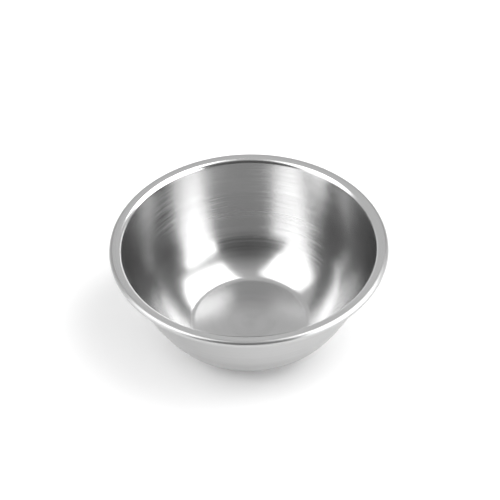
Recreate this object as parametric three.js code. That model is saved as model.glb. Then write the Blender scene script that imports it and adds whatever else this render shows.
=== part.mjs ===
// A small stainless-steel shaving bowl, pressed from one round sheet with its edge rolled over.
// Millimetres, +Z up. The origin is the centre of the base, on the surface that the bowl stands on.
//
// The sheet's middle line runs outwards from the axis as a chain of tangent stretches: flat floor,
// tight corner, wide round haunch, bellied wall, lip, domed rim and rolled edge. Half the sheet's
// thickness to either side of that line gives the two skins, and turning the closed outline about Z
// gives the bowl.

import * as THREE from 'three';

const { degToRad } = THREE.MathUtils;

// Overall size
const OUTER_DIAMETER = 116;
const HEIGHT = 48;
const SHEET_THICKNESS = 0.8;

// Bend radii of the sheet's middle line
const CORNER_RADIUS = 6;
const HAUNCH_RADIUS = 39;
const LIP_RADIUS = 2.2;
const DOME_RADIUS = 5.2;
const ROLL_RADIUS = 1.2;

// Slope of the sheet where each stretch gives way to the next: 0 runs level outwards, 90 degrees
// climbs straight up, and -180 degrees runs level back towards the axis
const HAUNCH_FOOT_SLOPE = degToRad(30);
const WALL_FOOT_SLOPE = degToRad(61);
const WALL_HEAD_SLOPE = degToRad(77);
const DOME_INNER_SLOPE = degToRad(12);
const DOME_OUTER_SLOPE = degToRad(-6);
const ROLL_END_SLOPE = degToRad(-180);
const LEVEL = 0;
const STRAIGHT_DOWN = degToRad(-90);

// Level run of the rolled edge under the rim, which stops short of the wall
const TUCK_LENGTH = 1.2;

// Facets around the axis and along each bend
const SEGMENTS_AROUND = 80;
const CORNER_STEPS = 5;
const HAUNCH_STEPS = 7;
const WALL_STEPS = 5;
const LIP_STEPS = 5;
const DOME_STEPS = 3;
const ROLL_STEPS = 8;

// Finish of the bare metal
const STEEL = { color: 0xc6c8c9, roughness: 0.32, metalness: 1 };

// The way from one end of a bend to the other, as (outwards, upwards)
function bendSpan(radius, fromSlope, toSlope) {
  const turn = Math.sign(toSlope - fromSlope);
  return new THREE.Vector2(
    turn * radius * (Math.sin(toSlope) - Math.sin(fromSlope)),
    turn * radius * (Math.cos(fromSlope) - Math.cos(toSlope)),
  );
}

// The wall is one wide bend that takes up whatever height the other stretches leave
function wallFromHeight() {
  const corner = bendSpan(CORNER_RADIUS, LEVEL, HAUNCH_FOOT_SLOPE);
  const haunch = bendSpan(HAUNCH_RADIUS, HAUNCH_FOOT_SLOPE, WALL_FOOT_SLOPE);
  const lip = bendSpan(LIP_RADIUS, WALL_HEAD_SLOPE, DOME_INNER_SLOPE);
  const dome = bendSpan(DOME_RADIUS, DOME_INNER_SLOPE, LEVEL);
  const rise = HEIGHT - SHEET_THICKNESS - corner.y - haunch.y - lip.y - dome.y;
  const chord = rise / Math.sin((WALL_FOOT_SLOPE + WALL_HEAD_SLOPE) / 2);
  return chord / (2 * Math.sin((WALL_HEAD_SLOPE - WALL_FOOT_SLOPE) / 2));
}

const WALL_RADIUS = wallFromHeight();

// The bends in the order that the sheet meets them, from the floor to the end of the roll
const BENDS = [
  { radius: CORNER_RADIUS, from: LEVEL, to: HAUNCH_FOOT_SLOPE, steps: CORNER_STEPS },
  { radius: HAUNCH_RADIUS, from: HAUNCH_FOOT_SLOPE, to: WALL_FOOT_SLOPE, steps: HAUNCH_STEPS },
  { radius: WALL_RADIUS, from: WALL_FOOT_SLOPE, to: WALL_HEAD_SLOPE, steps: WALL_STEPS },
  { radius: LIP_RADIUS, from: WALL_HEAD_SLOPE, to: DOME_INNER_SLOPE, steps: LIP_STEPS },
  { radius: DOME_RADIUS, from: DOME_INNER_SLOPE, to: DOME_OUTER_SLOPE, steps: DOME_STEPS },
  { radius: ROLL_RADIUS, from: DOME_OUTER_SLOPE, to: ROLL_END_SLOPE, steps: ROLL_STEPS },
];

// The flat floor is as wide as the overall diameter allows once every bend has its reach
function floorRadius() {
  const bendsBeforeRoll = BENDS.slice(0, -1);
  const reach = bendsBeforeRoll.reduce((sum, b) => sum + bendSpan(b.radius, b.from, b.to).x, 0);
  const rollReach = bendSpan(ROLL_RADIUS, DOME_OUTER_SLOPE, STRAIGHT_DOWN).x;
  return (OUTER_DIAMETER - SHEET_THICKNESS) / 2 - reach - rollReach;
}

// Points of the middle line, each with the slope that the sheet has there
function middleLine() {
  const place = new THREE.Vector2(0, SHEET_THICKNESS / 2);
  const line = [{ place: place.clone(), slope: LEVEL }];
  place.x = floorRadius();
  line.push({ place: place.clone(), slope: LEVEL });
  for (const bend of BENDS) {
    for (let step = 1; step <= bend.steps; step += 1) {
      const slope = THREE.MathUtils.lerp(bend.from, bend.to, step / bend.steps);
      const offset = bendSpan(bend.radius, bend.from, slope);
      line.push({ place: place.clone().add(offset), slope });
    }
    place.add(bendSpan(bend.radius, bend.from, bend.to));
  }
  place.x -= TUCK_LENGTH;
  line.push({ place: place.clone(), slope: ROLL_END_SLOPE });
  return line;
}

// One skin of the sheet: +1 is the skin that faces into the bowl and up, -1 the other
function skin(line, side) {
  const reach = (side * SHEET_THICKNESS) / 2;
  return line.map(({ place, slope }) => new THREE.Vector2(
    place.x - reach * Math.sin(slope),
    place.y + reach * Math.cos(slope),
  ));
}

// The outline starts under the base on the axis, goes round the rolled edge and ends on the floor
function bowlGeometry() {
  const line = middleLine();
  const outline = [...skin(line, -1), ...skin(line, +1).reverse()];
  const geometry = new THREE.LatheGeometry(outline, SEGMENTS_AROUND);
  geometry.rotateX(Math.PI / 2);
  return geometry;
}

function makeBowl() {
  const bowl = new THREE.Mesh(bowlGeometry(), new THREE.MeshStandardMaterial(STEEL));
  bowl.name = 'bowl';
  return bowl;
}

const shavingBowl = new THREE.Group();
shavingBowl.add(makeBowl());

export default shavingBowl;
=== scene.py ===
"""A small stainless-steel shaving bowl: brushed inside, polished on the rim, satin outside."""
import math

import bpy
from mathutils import Matrix, Vector


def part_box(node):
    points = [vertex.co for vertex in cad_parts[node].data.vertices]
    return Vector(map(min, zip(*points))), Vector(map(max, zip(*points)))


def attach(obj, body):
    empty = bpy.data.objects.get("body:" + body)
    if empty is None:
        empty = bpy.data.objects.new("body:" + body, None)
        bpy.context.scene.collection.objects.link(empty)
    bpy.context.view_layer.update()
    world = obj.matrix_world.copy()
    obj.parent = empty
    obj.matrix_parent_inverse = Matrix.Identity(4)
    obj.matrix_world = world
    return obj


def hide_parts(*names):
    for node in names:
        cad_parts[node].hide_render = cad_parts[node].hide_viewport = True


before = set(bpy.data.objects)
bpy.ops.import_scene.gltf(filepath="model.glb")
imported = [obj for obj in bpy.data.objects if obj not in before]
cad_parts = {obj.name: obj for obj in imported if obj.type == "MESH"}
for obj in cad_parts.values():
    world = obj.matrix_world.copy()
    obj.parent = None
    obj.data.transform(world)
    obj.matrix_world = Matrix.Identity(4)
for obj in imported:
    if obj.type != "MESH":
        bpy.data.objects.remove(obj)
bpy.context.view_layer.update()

MM = 0.001
LOW, HIGH = (Vector(corner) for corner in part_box("bowl"))
RIM_RADIUS = (HIGH.x - LOW.x) / 2
HEIGHT = HIGH.z - LOW.z

# The sheet, and the bend radii of its middle line
SHEET = 0.8 * MM
CORNER_RADIUS = 6 * MM
HAUNCH_RADIUS = 39 * MM
LIP_RADIUS = 2.2 * MM
DOME_RADIUS = 5.2 * MM
ROLL_RADIUS = 1.2 * MM
TUCK_LENGTH = 1.2 * MM

# Slope of the sheet where one stretch gives way to the next: 0 runs level outwards, 90 degrees
# climbs straight up, and -180 degrees runs level back towards the axis
LEVEL = 0
HAUNCH_FOOT = math.radians(30)
WALL_FOOT = math.radians(61)
WALL_HEAD = math.radians(77)
DOME_INNER = math.radians(12)
DOME_OUTER = math.radians(-6)
STRAIGHT_DOWN = math.radians(-90)
ROLL_END = math.radians(-180)

# Steps of the mesh around the axis and out over the flat floor
SEGMENTS_AROUND = 288
FLOOR_STEPS = 8

# A point nearer the axis than this lies on it
ON_AXIS = 1e-9


# ---------------------------------------------------------------- the sheet's outline

def bend_span(radius, start, end):
    """The way from one end of a bend to the other, as (outwards, upwards)."""
    turn = math.copysign(radius, end - start)
    outwards = turn * (math.sin(end) - math.sin(start))
    upwards = turn * (math.cos(start) - math.cos(end))
    return Vector((outwards, upwards))


def wall_radius():
    """The wall is one wide bend that takes up whatever height the other stretches leave."""
    others = (bend_span(CORNER_RADIUS, LEVEL, HAUNCH_FOOT).y
              + bend_span(HAUNCH_RADIUS, HAUNCH_FOOT, WALL_FOOT).y
              + bend_span(LIP_RADIUS, WALL_HEAD, DOME_INNER).y
              + bend_span(DOME_RADIUS, DOME_INNER, LEVEL).y)
    chord = (HEIGHT - SHEET - others) / math.sin((WALL_FOOT + WALL_HEAD) / 2)
    return chord / (2 * math.sin((WALL_HEAD - WALL_FOOT) / 2))


# Name, radius, first slope, last slope, steps: in the order that the sheet meets them
BENDS = [
    ("corner", CORNER_RADIUS, LEVEL, HAUNCH_FOOT, 12),
    ("haunch", HAUNCH_RADIUS, HAUNCH_FOOT, WALL_FOOT, 24),
    ("wall", wall_radius(), WALL_FOOT, WALL_HEAD, 18),
    ("lip", LIP_RADIUS, WALL_HEAD, DOME_INNER, 14),
    ("dome", DOME_RADIUS, DOME_INNER, DOME_OUTER, 8),
    ("roll", ROLL_RADIUS, DOME_OUTER, ROLL_END, 20),
]


def floor_radius():
    """The flat floor is as wide as the diameter allows once every bend has its reach."""
    reach = sum(bend_span(radius, start, end).x for _, radius, start, end, _ in BENDS[:-1])
    return RIM_RADIUS - SHEET / 2 - reach - bend_span(ROLL_RADIUS, DOME_OUTER, STRAIGHT_DOWN).x


def middle_line():
    """Points of the middle line as (place, slope, stretch that ends there)."""
    floor = floor_radius()
    line = [(Vector((floor * step / FLOOR_STEPS, SHEET / 2)), LEVEL, "floor")
            for step in range(FLOOR_STEPS + 1)]
    place = line[-1][0]
    for name, radius, start, end, steps in BENDS:
        for step in range(1, steps + 1):
            slope = start + (end - start) * step / steps
            line.append((place + bend_span(radius, start, slope), slope, name))
        place = place + bend_span(radius, start, end)
    line.append((place - Vector((TUCK_LENGTH, 0)), ROLL_END, "tuck"))
    return line


def skin(line, side):
    """One skin of the sheet: +1 faces into the bowl and up, -1 is the other."""
    return [place + Vector((-math.sin(slope), math.cos(slope))) * (side * SHEET / 2)
            for place, slope, _ in line]


# ---------------------------------------------------------------- mesh

# The finish of each stretch of the two skins; the stretches that aren't here are the rim
# The roll and tuck of the upper skin take the outside finish: rougher, like satin steel, and a darker
# grey that is painted shade, dimming the roll's reflection of the floor
FINISH_OF_STRETCH = {
    "upper": {"floor": "inside", "corner": "inside", "haunch": "inside", "wall": "inside",
              "roll": "outside", "tuck": "outside"},
    "under": {"floor": "outside", "corner": "outside", "haunch": "outside", "wall": "outside"},
}
FINISHES = ["inside", "rim", "outside"]


def finish_index(skin_name, stretch):
    return FINISHES.index(FINISH_OF_STRETCH[skin_name].get(stretch, "rim"))


def outline():
    """The closed outline from under the base, round the edge, to the middle of the floor.

    Each point comes with the finish of the band that leads to it.
    """
    line = middle_line()
    under, upper = skin(line, -1), skin(line, +1)
    points = [(point, finish_index("under", stretch)) for point, (_, _, stretch) in zip(under, line)]
    points.append((upper[-1], finish_index("upper", "tuck")))
    for index in range(len(line) - 1, 0, -1):
        points.append((upper[index - 1], finish_index("upper", line[index][2])))
    return points


def turned_mesh(name, points):
    """Turns an outline that starts and ends on the axis about Z, with a map of angle and run."""
    runs = [0.0]
    for (a, _), (b, _) in zip(points, points[1:]):
        runs.append(runs[-1] + (b - a).length)
    angles = [math.tau * k / SEGMENTS_AROUND for k in range(SEGMENTS_AROUND)]

    verts, rings = [], []
    for point, _ in points:
        ring_angles = [0.0] if point.x < ON_AXIS else angles
        rings.append(range(len(verts), len(verts) + len(ring_angles)))
        verts += [(point.x * math.cos(a), point.x * math.sin(a), point.y) for a in ring_angles]

    faces, finishes, map_points = [], [], []
    for index in range(1, len(points)):
        low, high = rings[index - 1], rings[index]
        v_low, v_high = runs[index - 1] / runs[-1], runs[index] / runs[-1]
        for k in range(SEGMENTS_AROUND):
            after = (k + 1) % SEGMENTS_AROUND
            u, u_after = k / SEGMENTS_AROUND, (k + 1) / SEGMENTS_AROUND
            u_mid = (u + u_after) / 2
            if len(low) == 1:
                faces.append((low[0], high[after], high[k]))
                map_points += [(u_mid, v_low), (u_after, v_high), (u, v_high)]
            elif len(high) == 1:
                faces.append((low[k], low[after], high[0]))
                map_points += [(u, v_low), (u_after, v_low), (u_mid, v_high)]
            else:
                faces.append((low[k], low[after], high[after], high[k]))
                map_points += [(u, v_low), (u_after, v_low), (u_after, v_high), (u, v_high)]
            finishes.append(points[index][1])

    mesh = bpy.data.meshes.new(name)
    mesh.from_pydata(verts, [], faces)
    layer = mesh.uv_layers.new(name="OFBake")
    layer.data.foreach_set("uv", [value for pair in map_points for value in pair])
    mesh.polygons.foreach_set("material_index", finishes)
    mesh.polygons.foreach_set("use_smooth", [True] * len(faces))
    mesh.update()
    return mesh


# ---------------------------------------------------------------- brushed steel

# How far the steel's grey strays to either side of its shade
SHADE_SPREAD = 0.04

# Height over the floor where the wall's scratches begin, and where there are most
SCRATCHES_FROM = 5 * MM
SCRATCHES_FULL = 14 * MM

# How much of each finer octave is left in the noise of the lines and of the smudges
LINE_OCTAVES = 0.6
SMUDGE_OCTAVES = 0.55

# A quarter turn of the highlight, from along the lines to across them
ACROSS_THE_LINES = 0.25


class Nodes:
    """Adds nodes to a material or world and links their sockets."""

    def __init__(self, owner):
        self.tree = owner.node_tree

    def add(self, kind, settings=None, **inputs):
        """Each input is named after its socket, with _ for a space, or i0, i1... by its number."""
        node = self.tree.nodes.new(kind)
        for key, value in (settings or {}).items():
            setattr(node, key, value)
        for key, value in inputs.items():
            socket_key = int(key[1:]) if key[1:].isdigit() else key.replace("_", " ")
            socket = node.inputs[socket_key]
            if isinstance(value, bpy.types.NodeSocket):
                self.tree.links.new(value, socket)
            else:
                socket.default_value = value
        return node

    def math(self, operation, a, b=0.0):
        return self.add("ShaderNodeMath", {"operation": operation}, i0=a, i1=b).outputs[0]

    def mix(self, a, b, share_of_a):
        part_a = self.math("MULTIPLY", a, share_of_a)
        part_b = self.math("MULTIPLY", b, 1 - share_of_a)
        return self.math("ADD", part_a, part_b)

    def ramp(self, value, low, high, to_low=0.0, to_high=1.0):
        return self.add("ShaderNodeMapRange", None, Value=value, From_Min=low, From_Max=high,
                        To_Min=to_low, To_Max=to_high).outputs["Result"]

    def vector(self, operation, output, **inputs):
        node = self.add("ShaderNodeVectorMath", {"operation": operation}, **inputs)
        return node.outputs[output]

    def place(self):
        return self.add("ShaderNodeTexCoord").outputs["Object"]

    def parts(self, vector):
        return self.add("ShaderNodeSeparateXYZ", None, Vector=vector).outputs

    def noise(self, where, scale, detail, roughness):
        return self.add("ShaderNodeTexNoise", {"noise_dimensions": "3D"}, Vector=where, Scale=scale,
                        Detail=detail, Roughness=roughness).outputs["Fac"]


def brushing(n, around, across, seed, detail=2.0, aside=0.0):
    """Noise drawn out into circles about the bowl's axis.

    around is how many changes a full circle brings, and across how many a metre of the sheet's run.
    The noise fades out along its own grid lines, so long lines need aside, which is a way off them.
    """
    parts = n.parts(n.place())
    level = n.add("ShaderNodeCombineXYZ", None, X=parts["X"], Y=parts["Y"]).outputs[0]
    radius = n.vector("LENGTH", "Value", i0=level)
    heading = n.vector("NORMALIZE", "Vector", i0=level)
    turned = n.vector("SCALE", "Vector", i0=heading, Scale=around / math.tau)
    run = n.math("MULTIPLY", n.math("ADD", radius, parts["Z"]), across)
    height = n.math("ADD", run, seed)
    lifted = n.add("ShaderNodeCombineXYZ", None, X=aside, Y=aside, Z=height).outputs[0]
    drawn_out = n.vector("ADD", "Vector", i0=turned, i1=lifted)
    return n.noise(drawn_out, scale=1.0, detail=detail, roughness=LINE_OCTAVES)


def smudges(n, scale, detail=3.0):
    return n.noise(n.place(), scale, detail, roughness=SMUDGE_OCTAVES)


def scratches(n):
    """Groups of short circular scratches on the wall, 1 where there is one and 0 elsewhere."""
    rings = brushing(n, around=1.5, across=2000, seed=7.7, detail=0.0, aside=0.5)
    ring = n.ramp(rings, 0.5, 0.62)
    group = n.ramp(smudges(n, 34, detail=0.0), 0.45, 0.62)
    above_floor = n.ramp(n.parts(n.place())["Z"], SCRATCHES_FROM, SCRATCHES_FULL)
    return n.math("MULTIPLY", n.math("MULTIPLY", ring, group), above_floor)


def steel(name, roughness, spread, anisotropy, line_depth, shade, scratch_roughness, wave_depth):
    """Stainless steel with fine circular lines.

    Light spreads across the lines, so a highlight stretches up the wall and out over the floor.
    """
    material = bpy.data.materials.new(name)
    material.use_nodes = True
    material.node_tree.nodes.clear()
    n = Nodes(material)

    fine = brushing(n, around=5, across=6000, seed=3.1)
    coarse = brushing(n, around=3, across=1500, seed=17.7, detail=3.0)
    band = brushing(n, around=2, across=160, seed=41.3, detail=1.0)
    waves = brushing(n, around=9, across=14, seed=5.3, detail=0.0)
    lines = n.mix(fine, coarse, 0.55)

    tone = n.mix(lines, band, 0.6)
    grey = n.ramp(tone, 0.3, 0.7, shade - SHADE_SPREAD, shade + SHADE_SPREAD)
    colour = n.add("ShaderNodeCombineColor", None, Red=grey, Green=grey, Blue=grey).outputs[0]

    wear = n.mix(coarse, smudges(n, 38), 0.5)
    worn = n.ramp(wear, 0.3, 0.7, roughness - spread, roughness + spread)
    rough = n.math("ADD", worn, n.math("MULTIPLY", scratches(n), scratch_roughness))

    uneven = n.add("ShaderNodeBump", None, Height=waves, Distance=wave_depth, Strength=1.0).outputs[0]
    brushed = n.add("ShaderNodeBump", None, Height=lines, Distance=line_depth, Strength=1.0,
                    Normal=uneven).outputs[0]
    tangent = n.add("ShaderNodeTangent", {"direction_type": "RADIAL", "axis": "Z"}).outputs[0]

    shader = n.add("ShaderNodeBsdfPrincipled", None, Metallic=1.0, Anisotropic=anisotropy,
                   Anisotropic_Rotation=ACROSS_THE_LINES, Base_Color=colour, Roughness=rough,
                   Normal=brushed, Tangent=tangent)
    n.add("ShaderNodeOutputMaterial", None, Surface=shader.outputs[0])
    return material


MATERIALS = {
    "inside": steel("steel_brushed_inside", roughness=0.2, spread=0.02, anisotropy=0.6,
                    line_depth=0.0006 * MM, shade=0.575, scratch_roughness=0.06, wave_depth=0.05 * MM),
    "rim": steel("steel_polished_rim", roughness=0.2, spread=0.03, anisotropy=0.4,
                 line_depth=0.0006 * MM, shade=0.64, scratch_roughness=0.04, wave_depth=0.02 * MM),
    # This satin steel also covers the rim's roll and tuck, where its darker grey is painted shade
    "outside": steel("steel_satin_outside", roughness=0.34, spread=0.04, anisotropy=0.45,
                     line_depth=0.0015 * MM, shade=0.47, scratch_roughness=0.04, wave_depth=0.02 * MM),
}


def make_bowl():
    mesh = turned_mesh("bowl_sheet", outline())
    for finish in FINISHES:
        mesh.materials.append(MATERIALS[finish])
    bowl = bpy.data.objects.new("bowl_sheet", mesh)
    bpy.context.scene.collection.objects.link(bowl)
    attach(bowl, "root")
    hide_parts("bowl")


# ---------------------------------------------------------------- floor, lights and camera

FLOOR_REACH = 6.0
FLOOR_BELOW_BOWL = 0.05 * MM
FLOOR_GREY = 0.96
FLOOR_ROUGHNESS = 0.9

# What the steel reflects of the room behind the camera and behind the bowl, and how far towards
# the camera a direction leans (1 is straight at it) where the room begins and ends to dim
ROOM_DIM = 0.115
ROOM_BRIGHT = 0.83
DIMMING_FROM = 0.3
DIMMING_TO = 0.71

CAMERA_ELEVATION = 42.8
CAMERA_ROLL = math.radians(-1.2)
CAMERA_DISTANCE = 10 * RIM_RADIUS
CAMERA_LENS = 100.6
SENSOR_WIDTH = 36
AIM_BELOW_RIM = 5 * MM
AIM_ASIDE = 0.5 * MM


def make_floor():
    corners = [(x * FLOOR_REACH, y * FLOOR_REACH, 0) for x, y in ((-1, -1), (1, -1), (1, 1), (-1, 1))]
    mesh = bpy.data.meshes.new("floor")
    mesh.from_pydata(corners, [], [(0, 1, 2, 3)])
    floor = bpy.data.objects.new("floor", mesh)
    floor.location.z = LOW.z - FLOOR_BELOW_BOWL
    bpy.context.scene.collection.objects.link(floor)
    material = bpy.data.materials.new("floor_white")
    material.use_nodes = True
    shader = material.node_tree.nodes["Principled BSDF"]
    shader.inputs["Base Color"].default_value = (FLOOR_GREY, FLOOR_GREY, FLOOR_GREY, 1)
    shader.inputs["Roughness"].default_value = FLOOR_ROUGHNESS
    shader.inputs["Specular IOR Level"].default_value = 0.0
    mesh.materials.append(material)


def direction(azimuth, elevation):
    """From the bowl outwards: azimuth 0 is towards the camera and 90 to its right."""
    a, e = math.radians(azimuth), math.radians(elevation)
    return Vector((math.sin(a) * math.cos(e), -math.cos(a) * math.cos(e), math.sin(e)))


def facing(forwards, roll):
    """The turn of a lamp or camera that looks forwards, rolled in its own plane."""
    level = forwards.to_track_quat("-Z", "Y").to_matrix()
    return (level @ Matrix.Rotation(roll, 3, "Z")).to_quaternion()


def softbox(name, azimuth, elevation, distance, width, height, roll, brightness):
    """A lamp panel that faces the bowl, turned in its own plane by roll degrees.

    Its brightness is the one that a mirror would show.
    """
    data = bpy.data.lights.new(name, "AREA")
    data.shape, data.size, data.size_y = "RECTANGLE", width, height
    data.energy = brightness * math.pi * width * height
    light = bpy.data.objects.new(name, data)
    out = direction(azimuth, elevation)
    light.location = Vector((0, 0, HEIGHT / 2)) + out * distance
    light.rotation_mode = "QUATERNION"
    light.rotation_quaternion = facing(-out, math.radians(roll))
    light.visible_camera = False
    bpy.context.scene.collection.objects.link(light)


def make_world():
    """A room that is bright behind the bowl and dim behind the camera, and white to look at."""
    world = bpy.data.worlds.new("studio")
    world.use_nodes = True
    world.node_tree.nodes.clear()
    n = Nodes(world)
    away = n.add("ShaderNodeTexCoord").outputs["Generated"]
    room = n.ramp(n.parts(away)["Y"], -DIMMING_TO, -DIMMING_FROM, ROOM_DIM, ROOM_BRIGHT)
    seen = n.add("ShaderNodeLightPath").outputs["Is Camera Ray"]
    strength = n.math("MAXIMUM", room, seen)
    background = n.add("ShaderNodeBackground", None, Strength=strength)
    n.add("ShaderNodeOutputWorld", None, Surface=background.outputs[0])
    bpy.context.scene.world = world


def make_lights():
    """Two overlapping panels on each side, which the wall shows as its bright bands."""
    softbox("left_low", azimuth=-71.5, elevation=27.9, distance=1.8,
            width=1.63, height=2.0, roll=6.9, brightness=1.54)
    softbox("left_high", azimuth=-71, elevation=56, distance=1.9,
            width=1.35, height=1.09, roll=14.7, brightness=1.9)
    softbox("right_high", azimuth=96, elevation=54, distance=1.8,
            width=1.2, height=1.86, roll=43.4, brightness=2.99)
    softbox("right_low", azimuth=71, elevation=12, distance=1.9,
            width=2.4, height=1.2, roll=-15, brightness=3.28)


def make_camera():
    data = bpy.data.cameras.new("camera")
    data.lens, data.sensor_width = CAMERA_LENS, SENSOR_WIDTH
    camera = bpy.data.objects.new("camera", data)
    rim_centre = Vector((0, 0, HIGH.z))
    camera.location = rim_centre + direction(0, CAMERA_ELEVATION) * CAMERA_DISTANCE
    aim = rim_centre + Vector((AIM_ASIDE, 0, -AIM_BELOW_RIM))
    camera.rotation_mode = "QUATERNION"
    camera.rotation_quaternion = facing(aim - camera.location, CAMERA_ROLL)
    bpy.context.scene.collection.objects.link(camera)
    bpy.context.scene.camera = camera


make_bowl()
make_floor()
make_world()
make_lights()
make_camera()
bpy.context.scene.view_settings.view_transform = "Standard"
